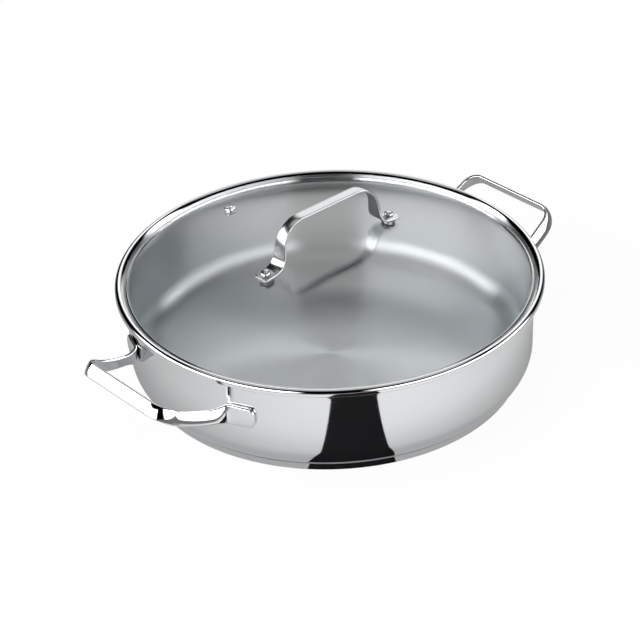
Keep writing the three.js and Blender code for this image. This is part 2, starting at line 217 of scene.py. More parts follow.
class BowSizes(bpy.types.PropertyGroup):
    """The bow handle on the lid."""

    top: length("Top", "Top of the bow above the table", BOW_HIGH.z)
    foot_half_width: length("Foot half width", "Half the strip's width at its feet", BOW_HIGH.y)
    top_half_width: length("Top half width", "Half the strip's width along its top", 4.1 * MM)
    taper_height: length("Taper height", "Where the strip narrows first, above the dome", 3.6 * MM)
    taper: length("Taper", "Height over which the strip narrows", 23.0 * MM)
    thickness: length("Thickness", "Thickness of the strip", 2.0 * MM)
    edge: length("Edge", "Radius of the strip's edges", 0.8 * MM)
    crown: length("Crown", "Swell of the strip's outer face", 0.3 * MM)
    lean: angle("Lean", "How far the legs lean in", 7)
    top_bend: length("Top bend", "Bend radius at the top", 18.0 * MM)
    foot_bend: length("Foot bend", "Bend radius at the feet", 10.0 * MM)
    rivet_reach: length("Rivet reach", "Rivets from the pan's axis", 55.8 * MM)
    heel: length("Heel", "From the rivet in to the leg", 12.2 * MM)
    toe: length("Toe", "From the rivet out to the foot's end", 5.2 * MM)
    toe_corner: length("Toe corner", "Radius of the foot's corners", 1.6 * MM)
    tip_scale: share("Tip scale", "Size of the strip's section at its very ends", 0.8)


class FastenerSizes(bpy.types.PropertyGroup):
    """Rivets, gaskets and washers through the lid, and the steam vent."""

    gap: length("Gap", "Clearance between stacked pieces", 0.3 * MM)
    gasket: length("Gasket", "Thickness of the upper gasket", 1.6 * MM)
    gasket_radius: length("Gasket radius", "Outside of both gaskets", 5.0 * MM)
    lower_gasket: length("Lower gasket", "Thickness of the lower gasket", 1.2 * MM)
    washer: length("Washer", "Thickness of the washers", 1.0 * MM)
    washer_radius: length("Washer radius", "Outside of the rivet washers", 4.6 * MM)
    shank: length("Shank", "Radius of the rivet's shank", 2.1 * MM)
    shank_hole: length("Shank hole", "Radius of the holes for the shank", 2.5 * MM)
    glass_hole: length("Glass hole", "Radius of the rivet holes in the glass", 3.2 * MM)
    head_radius: length("Head radius", "Radius of the rivet's head", 3.4 * MM)
    head_height: length("Head height", "Height of the rivet's head", 2.2 * MM)
    tail_radius: length("Tail radius", "Radius of the formed tail", 3.2 * MM)
    tail_height: length("Tail height", "Height of the formed tail", 1.6 * MM)
    vent_inset: length("Vent inset", "Vent's middle in from the glass edge", 34.05 * MM)
    vent_flange: length("Vent flange", "Radius of the vent's flange", 4.6 * MM)
    vent_tube: length("Vent tube", "Outside radius of the vent's tube", 3.0 * MM)
    vent_bore: length("Vent bore", "Radius of the vent's bore", 1.9 * MM)
    vent_rise: length("Vent rise", "Height of the vent's flange", 0.9 * MM)
    vent_tail: length("Vent tail", "Height of the vent's turned-out tail", 1.4 * MM)
    segments: count("Segments", "Facets round each small turned piece", 48)


class Finishes(bpy.types.PropertyGroup):
    """Colours and gloss of the materials."""

    mirror: colour("Mirror steel", "Polished steel outside", (0.76, 0.77, 0.78))
    soft: colour("Soft steel", "Bow and rivets of the lid", (0.61, 0.62, 0.63))
    satin: colour("Satin steel", "Brushed steel inside", (0.645, 0.665, 0.68))
    aluminium: colour("Aluminium", "Bare core of the base", (0.62, 0.63, 0.64))
    glass: colour("Glass", "Tint of the lid", (0.975, 0.99, 0.985))
    rubber: colour("Gasket", "Grey gaskets", (0.2, 0.21, 0.22))
    glass_bend: strength("Glass bend", "How strongly the glass bends light", 1.5)
    mirror_roughness: share("Mirror roughness", "Roughness of the polish", 0.05)
    soft_roughness: share("Soft polish", "Roughness of the bow's and rivets' polish", 0.19)
    satin_roughness: share("Satin roughness", "Roughness of the brushed inside", 0.34)
    satin_grain: share("Satin grain", "How strongly the brushing runs in circles", 0.96)


class LeftPanel(bpy.types.PropertyGroup):
    """Light panel to the left of the camera."""

    bearing: angle("Bearing", "Middle of the panel, to the right of the camera", -66)
    half_width: angle("Half width", "Half of the panel's width", 47)
    softness: angle("Softness", "How far the panel's sides fade", 5)
    level: strength("Level", "Brightness in the steel", 6.2)


class RightPanel(bpy.types.PropertyGroup):
    """Light panel to the right of the camera."""

    bearing: angle("Bearing", "Middle of the panel, to the right of the camera", 67)
    half_width: angle("Half width", "Half of the panel's width", 48)
    softness: angle("Softness", "How far the panel's sides fade", 6)
    level: strength("Level", "Brightness in the steel", 4.3)


class RearPanel(bpy.types.PropertyGroup):
    """Light panel behind the pan."""

    bearing: angle("Bearing", "Middle of the panel, to the right of the camera", 172)
    half_width: angle("Half width", "Half of the panel's width", 19)
    softness: angle("Softness", "How far the panel's sides fade", 9)
    level: strength("Level", "Brightness in the steel", 1.35)


class Surround(bpy.types.PropertyGroup):
    """The light round and over the pan that its steel mirrors."""

    left: PointerProperty(type=LeftPanel)
    right: PointerProperty(type=RightPanel)
    rear: PointerProperty(type=RearPanel)
    side_foot: fade("Side foot", "Rise over which the side panels begin", -1, 0.5)
    side_top: fade("Side top", "Rise over which the side panels end", 34, 28)
    rear_foot: fade("Rear foot", "Rise over which the rear panel begins", -4, 8)
    rear_top: fade("Rear top", "Rise over which the rear panel ends", 51, 44)
    low_share: share("Low share", "Part of a panel's brightness at its foot", 0.55)
    fuller: fade("Fuller", "Rise over which the panels come to full brightness", 0, 24)
    over_rise: fade("Overhead rise", "Rise over which the overhead light begins", 52, 60)
    over_depth: FloatVectorProperty(
        name="Overhead depth",
        description="Where the overhead light fades in, from 1 at the camera to -1 behind the pan",
        default=(0.35, -0.15),
        size=2,
    )
    over_level: strength("Overhead level", "Brightness overhead", 0.62)


class Floor(bpy.types.PropertyGroup):
    """The pale paper under the pan, and the light that it sends up into the steel."""

    side: length("Side", "Width of the paper", 12.0)
    paper: colour("Paper", "Colour of the paper", (0.93, 0.93, 0.93))
    white: share("White", "How white it looks beside the pan", 0.92)
    shadow_end: stretch("Shadow end", "Where the pan's soft shadow fades out", 0.25, 0.5)
    dull: share("Dull", "How much of its colour the steel sees", 0.2)
    glow: strength("Glow", "Light that the steel sees near the pan", 0.7)
    glow_end: stretch("Glow end", "Where the glow fades, from far to near", 0.42, 0.24)
    under: share("Under", "Part of the glow that is left under the pan", 0.5)
    under_end: stretch("Under end", "Where the glow comes to its full strength", 0.14, 0.2)
    glow_middle: strength("Glow middle", "Share of the glow under the pan's middle", 0.6)
    glow_right: strength("Glow right", "How much the glow grows to the right, for each metre", 0.6)
    glow_front: strength("Glow front", "How much the glow grows to the front, for each metre", 2.2)


class DarkCard(bpy.types.PropertyGroup):
    """The dark card that lies before the pan and shows only in its steel."""

    tint: colour("Tint", "Colour of the card", (0.01, 0.01, 0.011))
    width: length("Width", "Width of the card at its far end", 0.055)
    depth: length("Depth", "Length of the card", 0.24)
    spread: length("Spread", "How much wider its near end is, to one side", 0.0257)
    turn: angle("Turn", "Turn of the card to the right of the camera", 14.306)
    reach: length("Reach", "Middle of the card from the pan's axis", 0.22)
    shift: length("Shift", "How far it lies to the left", 0.0213)
    lift: length("Lift", "Height of the card over the floor", 0.0004)


class OverheadLamp(bpy.types.PropertyGroup):
    """The lamp that casts the pan's soft shadow."""

    width: length("Width", "Width of the lamp", 1.6)
    depth: length("Depth", "Depth of the lamp", 1.2)
    power: FloatProperty(
        name="Power", description="Power of the lamp", default=9.0, min=0.0, unit="POWER"
    )
    height: length("Height", "Height over the floor", 1.5)
    setback: length("Setback", "How far it hangs behind the pan, seen from the camera", 0.35)
    shift: length("Shift", "How far it hangs towards -X", 0.3)


class View(bpy.types.PropertyGroup):
    """Where the camera stands and how it is turned."""

    bearing: angle("Bearing", "Camera round the pan, 0 looks along +Y", -41.28)
    elevation: angle("Elevation", "Camera above the table", 31.081)
    distance: length("Distance", "Camera from the pan's middle", 1485.665 * MM)
    aim_height: length("Aim height", "Height of the pan's middle", 71.886 * MM)
    swing: angle("Swing", "Turn of the camera to the left", 0.289)
    tilt: angle("Tilt", "Turn of the camera up", -1.268)
    roll: angle("Roll", "Turn of the camera about its view", 1.888)
    lens: FloatProperty(
        name="Lens", description="Focal length", default=122.24, min=1.0, unit="CAMERA"
    )
    sensor: FloatProperty(
        name="Sensor", description="Width of the sensor", default=36.0, min=1.0, unit="CAMERA"
    )
    nearest: length("Nearest", "Nothing nearer is seen", 0.05)
    farthest: length("Farthest", "Nothing farther is seen", 50.0)


class ServingPan(bpy.types.PropertyGroup):
    """All settings of the pan."""

    pan: PointerProperty(type=PanSizes)
    grip: PointerProperty(type=GripSizes)
    lid: PointerProperty(type=LidSizes)
    bow: PointerProperty(type=BowSizes)
    fastener: PointerProperty(type=FastenerSizes)
    finish: PointerProperty(type=Finishes)
    view: PointerProperty(type=View)
    surround: PointerProperty(type=Surround)
    floor: PointerProperty(type=Floor)
    card: PointerProperty(type=DarkCard)
    lamp: PointerProperty(type=OverheadLamp)


class Wire:
    """A socket in a node tree, so that sums on it are written as Python expressions."""

    def __init__(self, tree, socket=None):
        self.tree = tree
        self.socket = socket

    def node(self, kind, settings=None, inputs=None, output=0):
        """Adds a node: its settings first, then the values or links of its sockets."""
        made = self.tree.nodes.new(kind)
        for name, value in (settings or {}).items():
            setattr(made, name, value)
        for key, value in (inputs or {}).items():
            if isinstance(value, Wire):
                self.tree.links.new(value.socket, made.inputs[key])
            else:
                made.inputs[key].default_value = value
        return Wire(self.tree, made.outputs[output])

    def math(self, operation, *values):
        """Adds a Math node on wires or numbers."""
        return self.node("ShaderNodeMath", {"operation": operation}, dict(enumerate(values)))

    def __add__(self, other):
        return self.math("ADD", self, other)

    def __radd__(self, other):
        return self.math("ADD", other, self)

    def __sub__(self, other):
        return self.math("SUBTRACT", self, other)

    def __rsub__(self, other):
        return self.math("SUBTRACT", other, self)

    def __mul__(self, other):
        return self.math("MULTIPLY", self, other)

    def __rmul__(self, other):
        return self.math("MULTIPLY", other, self)

    def __truediv__(self, other):
        return self.math("DIVIDE", self, other)

    def __rtruediv__(self, other):
        return self.math("DIVIDE", other, self)


def arc(centre, radius, start, end, steps):
    """Points of an arc in a plane, from one angle to another in degrees."""
    turns = [math.radians(start + (end - start) * k / steps) for k in range(steps + 1)]
    x, y = centre
    return [Vector((x + radius * math.cos(a), y + radius * math.sin(a))) for a in turns]


def eased(outline, spacing):
    """The same outline with its long stretches split, so that shading stays even along them."""
    points = [outline[0]]
    for before, after in zip(outline, outline[1:]):
        parts = max(1, math.ceil((after - before).length / spacing))
        points += [before.lerp(after, k / parts) for k in range(1, parts + 1)]
    return points


def rounded(corners, radii, steps):
    """A line through corners in a plane, with each inner corner rounded."""
    points = [corners[0]]
    for before, corner, after, radius in zip(corners, corners[1:], corners[2:], radii):
        back = (before - corner).normalized()
        ahead = (after - corner).normalized()
        half = math.acos(back.dot(ahead)) / 2
        inward = (back + ahead).normalized()
        centre = corner + inward * (radius / math.sin(half))
        start = corner + back * (radius / math.tan(half)) - centre
        end = corner + ahead * (radius / math.tan(half)) - centre
        sweep = math.atan2(start.x * end.y - start.y * end.x, start.dot(end))
        for k in range(steps + 1):
            points.append(centre + Matrix.Rotation(sweep * k / steps, 2) @ start)
    return points + [corners[-1]]


def smooth(t):
    """Eases from 0 to 1."""
    t = min(max(t, 0.0), 1.0)
    return t * t * (3.0 - 2.0 * t)


def line_object(name, points, closed=False, **attributes):
    """An object that holds a line of points and their attributes, for a node tree to work on."""
    mesh = bpy.data.meshes.new(name)
    edges = [(i, i + 1) for i in range(len(points) - 1)]
    if closed:
        edges.append((len(points) - 1, 0))
    mesh.from_pydata([tuple(p) for p in points], edges, [])
    for label, values in attributes.items():
        vector = hasattr(values[0], "__len__")
        layer = mesh.attributes.new(label, "FLOAT_VECTOR" if vector else "FLOAT", "POINT")
        flat = [x for v in values for x in v] if vector else values
        layer.data.foreach_set("vector" if vector else "value", flat)
    piece = bpy.data.objects.new(name, mesh)
    bpy.context.scene.collection.objects.link(piece)
    return piece


def geometry_tree(name, sizes):
    """A node tree with a geometry going in and coming out, and named inputs for its sizes."""
    tree = bpy.data.node_groups.new(name, "GeometryNodeTree")
    tree.interface.new_socket("Geometry", in_out="INPUT", socket_type="NodeSocketGeometry")
    for label, kind in sizes.items():
        tree.interface.new_socket(label, in_out="INPUT", socket_type="NodeSocket" + kind)
    tree.interface.new_socket("Geometry", in_out="OUTPUT", socket_type="NodeSocketGeometry")
    given = tree.nodes.new("NodeGroupInput").outputs
    return tree, {socket.name: Wire(tree, socket) for socket in given if socket.name}


def smoothed(wire, geometry, crease):
    """Smooth shading, with edges kept crisp past an angle."""
    soft = wire.node("GeometryNodeSetShadeSmooth", {"domain": "FACE"}, {"Geometry": geometry})
    fold = wire.node("GeometryNodeInputMeshEdgeAngle")
    crisp = wire.node(
        "FunctionNodeCompare", {"operation": "GREATER_THAN"}, {"A": fold, "B": crease}
    )
    return wire.node(
        "GeometryNodeSetShadeSmooth",
        {"domain": "EDGE"},
        {"Geometry": soft, "Selection": crisp, "Shade Smooth": False},
    )


def close_tree(tree, geometry, material):
    """Ends a tree: whatever it copied is made real, and takes its material."""
    real = geometry.node("GeometryNodeRealizeInstances", inputs={"Geometry": geometry})
    whole = real.node("GeometryNodeSetMaterial", inputs={"Geometry": real, "Material": material})
    tree.links.new(whole.socket, tree.nodes.new("NodeGroupOutput").inputs["Geometry"])
    return tree


def turned_tree():
    """Turns an outline of radius and height about Z."""
    sizes = {"Segments": "Int", "Crease": "Float", "Material": "Material"}
    tree, given = geometry_tree("Turned Piece", sizes)
    wire = given["Geometry"]
    guide = 0.1
    line = wire.node("GeometryNodeMeshToCurve", inputs={"Mesh": wire})
    laid = wire.node(
        "GeometryNodeTransform",
        inputs={"Geometry": line, "Translation": (-guide, 0, 0), "Rotation": (math.pi / 2, 0, 0)},
    )
    ring = wire.node(
        "GeometryNodeCurvePrimitiveCircle",
        inputs={"Resolution": given["Segments"], "Radius": guide},
    )
    upright = wire.node("GeometryNodeSetCurveNormal", {"mode": "Z_UP"}, {"Curve": ring})
    swept = wire.node("GeometryNodeCurveToMesh", inputs={"Curve": upright, "Profile Curve": laid})
    joined = wire.node(
        "GeometryNodeMergeByDistance", inputs={"Geometry": swept, "Distance": SAME_PLACE}
    )
    return close_tree(tree, smoothed(wire, joined, given["Crease"]), given["Material"])


PLACES = {"Count": "Int", "Bearing": "Float", "Reach": "Float", "Height": "Float", "Tilt": "Float"}


def placed(wire, given, thing):
    """Copies of a thing spaced evenly round Z, each leaning outwards by the tilt."""
    turn = wire.node("GeometryNodeInputIndex") * (math.tau / given["Count"]) + given["Bearing"]
    spot = wire.node(
        "ShaderNodeCombineXYZ",
        inputs={
            "X": wire.math("COSINE", turn) * given["Reach"],
            "Y": wire.math("SINE", turn) * given["Reach"],
            "Z": given["Height"],
        },
    )
    points = wire.node("GeometryNodePoints", inputs={"Count": given["Count"], "Position": spot})
    lean = wire.node("ShaderNodeCombineXYZ", inputs={"Y": given["Tilt"], "Z": turn})
    stand = wire.node("FunctionNodeEulerToRotation", inputs={"Euler": lean})
    return wire.node(
        "GeometryNodeInstanceOnPoints",
        inputs={"Points": points, "Instance": thing, "Rotation": stand},
    )


def placed_tree():
    """Stands copies of a piece round the pan's axis."""
    tree, given = geometry_tree("Placed Round Axis", {**PLACES, "Material": "Material"})
    wire = given["Geometry"]
    return close_tree(tree, placed(wire, given, wire), given["Material"])


def pierced_tree():
    """Drills round holes through a piece at places round the pan's axis."""
    sizes = {**PLACES, "Hole": "Float", "Depth": "Float", "Crease": "Float", "Material": "Material"}
    tree, given = geometry_tree("Pierced Round Axis", sizes)
    wire = given["Geometry"]
    drill = wire.node(
        "GeometryNodeMeshCylinder",
        inputs={"Vertices": DRILL_SIDES, "Radius": given["Hole"], "Depth": given["Depth"]},
    )
    drills = wire.node(
        "GeometryNodeRealizeInstances", inputs={"Geometry": placed(wire, given, drill)}
    )
    holed = wire.node(
        "GeometryNodeMeshBoolean",
        {"operation": "DIFFERENCE", "solver": "EXACT"},
        {"Mesh 1": wire, "Mesh 2": drills},
    )
    return close_tree(tree, smoothed(wire, holed, given["Crease"]), given["Material"])


def strip_tree():
    """Sweeps a flat section along a bent path whose points give its width direction and width."""
    tree, given = geometry_tree(
        "Bent Strip", {"Section": "Object", "Crease": "Float", "Material": "Material"}
    )
    wire = given["Geometry"]
    across = wire.node(
        "GeometryNodeInputNamedAttribute", {"data_type": "FLOAT_VECTOR"}, {"Name": "across"}
    )
    reach, widening, scale = (
        wire.node("GeometryNodeInputNamedAttribute", {"data_type": "FLOAT"}, {"Name": label})
        for label in ("reach", "widening", "scale")
    )
    line = wire.node("GeometryNodeMeshToCurve", inputs={"Mesh": wire})
    path = wire.node(
        "GeometryNodeSetCurveNormal", {"mode": "FREE"}, {"Curve": line, "Normal": across}
    )
    drawn = wire.node(
        "GeometryNodeObjectInfo", inputs={"Object": given["Section"]}, output="Geometry"
    )
    section = wire.node("GeometryNodeMeshToCurve", inputs={"Mesh": drawn})
    swept = wire.node(
        "GeometryNodeCurveToMesh",
        inputs={"Curve": path, "Profile Curve": section, "Scale": scale, "Fill Caps": True},
    )
    widened = wire.node(
        "GeometryNodeSetPosition",
        inputs={
            "Geometry": swept,
            "Offset": wire.node(
                "ShaderNodeVectorMath",
                {"operation": "SCALE"},
                {"Vector": across, "Scale": reach * widening},
            ),
        },
    )
    return close_tree(tree, smoothed(wire, widened, given["Crease"]), given["Material"])


def add_tree(piece, make, **values):
    """Puts a node tree on a piece, its inputs set by their own identifiers."""
    tree = bpy.data.node_groups.get(TREE_NAMES[make]) or make()
    modifier = piece.modifiers.new(tree.name, "NODES")
    modifier.node_group = tree
    for item in tree.interface.items_tree:
        key = item.name.lower().replace(" ", "_")
        if item.in_out == "INPUT" and key in values:
            modifier[item.identifier] = values[key]


TREE_NAMES = {
    turned_tree: "Turned Piece",
    placed_tree: "Placed Round Axis",
    pierced_tree: "Pierced Round Axis",
    strip_tree: "Bent Strip",
}


def settle(piece):
    """Turns a piece's node trees into one plain mesh with its faces outwards."""
    graph = bpy.context.evaluated_depsgraph_get()
    made = bpy.data.meshes.new_from_object(piece.evaluated_get(graph))
    piece.modifiers.clear()
    drawn, piece.data = piece.data, made
    bpy.data.meshes.remove(drawn)
    made.name = piece.name
    body = bmesh.new()
    body.from_mesh(made)
    outward = body.calc_volume(signed=True) > 0
    body.free()
    if not outward:
        made.flip_normals()
    return piece


def carry(piece, body, slot, *nodes):
    """Puts a finished piece on its body, in the place of the nodes it stands for."""
    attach(piece, body)
    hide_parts(*nodes)
    return piece


def turned(name, outline, material, segments, closed=False):
    """A piece turned about Z from an outline of radius and height."""
    piece = line_object(name, [(p.x, 0.0, p.y) for p in outline], closed)
    add_tree(piece, turned_tree, segments=segments, crease=CREASE, material=material)
    return piece


Station = namedtuple("Station", "place across half_width scale")


def strip_section(half_width, thickness, edge, crown):
    """A strip's section: its outline, and how far each point moves where the strip is wider."""
    h = thickness / 2
    core = half_width - edge
    crown_steps = 12
    flat_steps = 8
    outline = arc((core, edge - h), edge, -90, 0, EDGE_STEPS)
    outline += arc((core, h - edge), edge, 0, 90, EDGE_STEPS)
    for k in range(1, crown_steps):
        u = 1 - 2 * k / crown_steps
        outline.append(Vector((core * u, h + crown * (1 - u**2))))
    outline += arc((-core, h - edge), edge, 90, 180, EDGE_STEPS)
    outline += arc((-core, edge - h), edge, 180, 270, EDGE_STEPS)
    for k in range(1, flat_steps):
        outline.append(Vector((core * (2 * k / flat_steps - 1), -h)))
    reach = [max(-1.0, min(1.0, p.x / core)) for p in outline]
    return outline, reach


def tip_shares(steps):
    """How far in from a strip's end its first stations lie, as shares of its rounded corner."""
    return [1 - math.cos(math.radians(90 * k / steps)) for k in range(steps)]


def corner_loss(corner, run):
    """How much narrower a strip's half width is at a run from its rounded end."""
    short = max(corner - run, 0.0)
    return corner - math.sqrt(corner**2 - short**2)


def strip(name, stations, half_width, sizes, material):
    """A bent strip of metal along its stations, and the section that it is drawn from."""
    outline, reach = strip_section(half_width, sizes.thickness, sizes.edge, sizes.crown)
    flat = [(p.x, p.y, 0.0) for p in outline]
    section = line_object(name + "_section", flat, closed=True, reach=reach)
    piece = line_object(
        name,
        [s.place for s in stations],
        across=[s.across for s in stations],
        widening=[s.half_width - half_width for s in stations],
        scale=[s.scale for s in stations],
    )
    add_tree(piece, strip_tree, section=section, crease=CREASE, material=material)
    return piece, section


def pan_outline(pan):
    """The drawn body's outline, outside first, then inside, and the height of its flare's end."""
    tilt = pan.flare_angle
    lean = math.degrees(tilt)
    corner = Vector((pan.wall_radius - pan.corner_radius, pan.underside + pan.corner_radius))
    curl = Vector((pan.rim_radius - pan.curl_radius, pan.rim_height - pan.curl_radius))
    wall = pan.wall_radius - pan.sheet / 2
    roll = pan.curl_radius - pan.sheet / 2
    start = curl + roll * Vector((-math.cos(tilt), math.sin(tilt)))
    flare_out = start.x - wall - pan.flare_length * math.sin(tilt)
    flare_radius = flare_out / (1 - math.cos(tilt))
    flare_low = start.y - pan.flare_length * math.cos(tilt) - flare_radius * math.sin(tilt)
    flare_top = flare_low + (flare_radius + pan.sheet / 2) * math.sin(tilt)
    flare = Vector((wall + flare_radius, flare_low))
    end = Vector((curl.x + roll, curl.y - pan.curl_drop))
    outside = [Vector((0.0, pan.underside))]
    outside += arc(corner, pan.corner_radius, -90, 0, CORNER_STEPS)
    outside += arc(flare, flare_radius - pan.sheet / 2, 180, 180 - lean, FLARE_STEPS)
    outside += arc(curl, pan.curl_radius - pan.sheet, 180 - lean, 0, ROLL_STEPS)
    outside += arc(end, pan.sheet / 2, -180, 0, HEM_STEPS)
    outside += arc(curl, pan.curl_radius, 0, 180 - lean, CURL_STEPS)
    outside += arc(flare, flare_radius + pan.sheet / 2, 180 - lean, 180, FLARE_STEPS)
    inside = arc(corner, pan.corner_radius - pan.sheet, 0, -90, CORNER_STEPS)
    inside.append(Vector((0.0, pan.underside + pan.sheet)))
    return eased(outside + inside, TURNED_FACET), flare_top


def cap_outline(pan):
    """The base cap's outline, kept clear of the body's rounded corner."""
    corner = Vector((pan.wall_radius - pan.corner_radius, pan.underside + pan.corner_radius))
    clear = pan.corner_radius + pan.seam_gap

    def under(radius):
        """Height of the seam's lower side at a radius."""
        return corner.y - math.sqrt(clear**2 - (radius - corner.x) ** 2)

    foot = pan.cap_radius - pan.cap_draft
    inside = pan.cap_radius - pan.cap_sheet
    lip = pan.cap_sheet / 3
    outline = [Vector((0.0, 0.0))]
    outline += arc((foot - pan.cap_edge, pan.cap_edge), pan.cap_edge, -90, 0, HEM_STEPS)
    outline.append(Vector((pan.cap_radius, under(pan.cap_radius) - lip)))
    outline.append(Vector((pan.cap_radius - lip, under(pan.cap_radius - lip))))
    outline.append(Vector((inside, under(inside))))
    outline.append(Vector((foot - pan.cap_sheet, pan.cap_sheet)))
    outline.append(Vector((0.0, pan.cap_sheet)))
    return eased(outline, TURNED_FACET)


def grip_stations(grip, pan):
    """Stations of a side handle on the +X side, from one foot over the bar to the other foot."""
    foot_radius = pan.wall_radius + grip.weld_gap + grip.thickness / 2
    far, near = math.degrees(grip.foot_far), math.degrees(grip.foot_near)
    foot = arc((0, 0), foot_radius, far, near, FOOT_STEPS)
    along = Vector((math.sin(grip.foot_near), -math.cos(grip.foot_near)))

    def on_wall(bearing):
        """A place along the foot, which follows the wall's curve."""
        return foot_radius * Vector((math.cos(bearing), math.sin(bearing)))

    corners = [
        foot[-1],
        foot[-1] + along * grip.foot_length,
        Vector((grip.bar_reach, grip.bar_half_length)),
        Vector((grip.bar_reach, 0.0)),
    ]
    plan = foot[:-1] + rounded(corners, (grip.foot_bend, grip.bar_bend), GRIP_BEND_STEPS)
    end = grip.foot_corner / foot_radius
    start = grip.foot_far - end
    tips = [on_wall(grip.foot_far - end * t) for t in tip_shares(GRIP_TIP_STEPS)]
    plan = [p for p in plan if math.atan2(p.y, p.x) < start]
    plan = tips + eased([on_wall(start)] + plan, GRIP_FACET)
    out_start = foot_radius * math.cos(grip.foot_far) + grip.rise_offset
    rise = (grip.bar_height - grip.foot_height) / (grip.bar_reach - out_start) ** 2
    half = []
    run = 0.0
    for i, p in enumerate(plan):
        run += (p - plan[i - 1]).length if i else 0.0
        out = max(p.x - out_start, 0.0)
        to_arm = smooth(out / grip.taper)
        to_bar = smooth((p.x - grip.bar_reach + grip.taper) / grip.taper)
        width = grip.foot_half_width + (grip.arm_half_width - grip.foot_half_width) * to_arm
        width += (grip.bar_half_width - width) * to_bar
        width -= corner_loss(grip.foot_corner, run)
        lean = math.atan(2 * rise * out)
        turn = grip.twist * to_arm * (1 - to_bar)
        upright = Vector((-math.sin(lean), -math.tan(turn), math.cos(lean)))
        half.append((Vector((p.x, p.y, grip.foot_height + rise * out**2)), upright, width))
    turned_over = Vector((1.0, -1.0, 1.0))
    mirrored = [(q * turned_over, u * turned_over, width) for q, u, width in reversed(half[:-1])]
    whole = half + mirrored
    stations = []
    for i, (q, upright, width) in enumerate(whole):
        heading = (whole[min(i + 1, len(whole) - 1)][0] - whole[max(i - 1, 0)][0]).normalized()
        across = (upright - heading * upright.dot(heading)).normalized()
        at_tip = i in (0, len(whole) - 1)
        stations.append(Station(q, across, width, grip.tip_scale if at_tip else 1.0))
    stations.reverse()
    return stations


class Dome:
    """The lid's glass sphere, and the places of the pieces that stand on it."""

    def __init__(self, lid):
        self.radius = (lid.glass_radius**2 + lid.dome_rise**2) / (2 * lid.dome_rise)
        self.top = lid.dome_top
        self.centre = lid.dome_top - self.radius
        self.edge_height = lid.dome_top - lid.dome_rise
        self.edge_tilt = math.asin(lid.glass_radius / self.radius)

    def height(self, reach):
        """Height of the outer face at a distance from the axis."""
        return self.centre + math.sqrt(self.radius**2 - reach**2)

    def tilt(self, reach):
        """Slope of the outer face at a distance from the axis."""
        return math.asin(reach / self.radius)

    def seat(self, reach):
        """Inputs for a tree that places things on the dome at a distance from its axis."""
        return {"reach": reach, "height": self.height(reach), "tilt": self.tilt(reach)}


def glass_outline(lid):
    """The dome's outline: outer face from the top out, square edge, inner face back to the axis."""
    dome = Dome(lid)
    tilt = math.degrees(dome.edge_tilt)
    inner = dome.radius - lid.glass_thickness
    outline = arc((0, dome.centre), dome.radius, 90, 90 - tilt, DOME_STEPS)
    outline += arc((0, dome.centre), inner, 90 - tilt, 90, DOME_STEPS)
    outline[0].x = 0.0
    outline[-1].x = 0.0
    return outline


def band_outline(lid):
    """The edge band's outline, a thin channel with rolled outer corners, and its middle."""
    dome = Dome(lid)
    up = Vector((math.sin(dome.edge_tilt), math.cos(dome.edge_tilt)))
    out = Vector((math.cos(dome.edge_tilt), -math.sin(dome.edge_tilt)))
    edge = Vector((lid.glass_radius, dome.edge_height))
    gap = lid.band_gap
    sheet = lid.band_sheet
    under = -lid.glass_thickness - gap
    flat = [Vector((-lid.band_top, gap)), Vector((gap, gap)), Vector((gap, under))]
    flat += arc((-lid.band_low, under - sheet / 2), sheet / 2, 90, 270, EDGE_STEPS)
    flat += arc((gap, under), sheet, -90, 0, EDGE_STEPS)
    flat += arc((gap, gap), sheet, 0, 90, EDGE_STEPS)
    flat += arc((-lid.band_top, gap + sheet / 2), sheet / 2, 90, 270, EDGE_STEPS)[:-1]
    middle = edge - up * lid.glass_thickness / 2
    return [edge + out * p.x + up * p.y for p in eased(flat, BAND_FACET)], middle


def ring_outline(hole, radius, low, height):
    """A flat ring with its outer edges broken."""
    edge = min(height, radius - hole) / 4
    outline = [Vector((hole, low))]
    outline += arc((radius - edge, low + edge), edge, -90, 0, RING_EDGE_STEPS)
    outline += arc((radius - edge, low + height - edge), edge, 0, 90, RING_EDGE_STEPS)
    outline.append(Vector((hole, low + height)))
    return outline


class RivetStack:
    """Heights along a rivet, measured from the glass's upper face."""

    def __init__(self, fastener, bow, lid):
        f = fastener
        self.foot = f.gap + f.gasket + f.gap + bow.thickness / 2
        self.head = self.foot + bow.thickness / 2 + bow.crown + f.gap
        self.lower_gasket = -lid.glass_thickness - f.gap - f.lower_gasket
        self.washer = self.lower_gasket - f.gap - f.washer
        self.tail = self.washer - f.gap


def cushion(radius, height, low, steps):
    """A flattened dome, from its rim up to its middle, or down with a negative height."""
    flatness = 0.75
    points = []
    for k in range(steps + 1):
        turn = math.radians(90 * k / steps)
        across = max(math.cos(turn), 0.0) ** flatness
        points.append(Vector((radius * across, low + height * math.sin(turn) ** flatness)))
    points[-1].x = 0.0
    return points


def rivet_outline(fastener, stack):
    """One rivet along its own axis: formed tail, shank and flattened head."""
    f = fastener
    outline = cushion(f.tail_radius, -f.tail_height, stack.tail, TAIL_STEPS)[::-1]
    outline += [Vector((f.shank, stack.tail)), Vector((f.shank, stack.head))]
    outline += cushion(f.head_radius, f.head_height, stack.head, HEAD_STEPS)
    return eased(outline, RIVET_FACET)


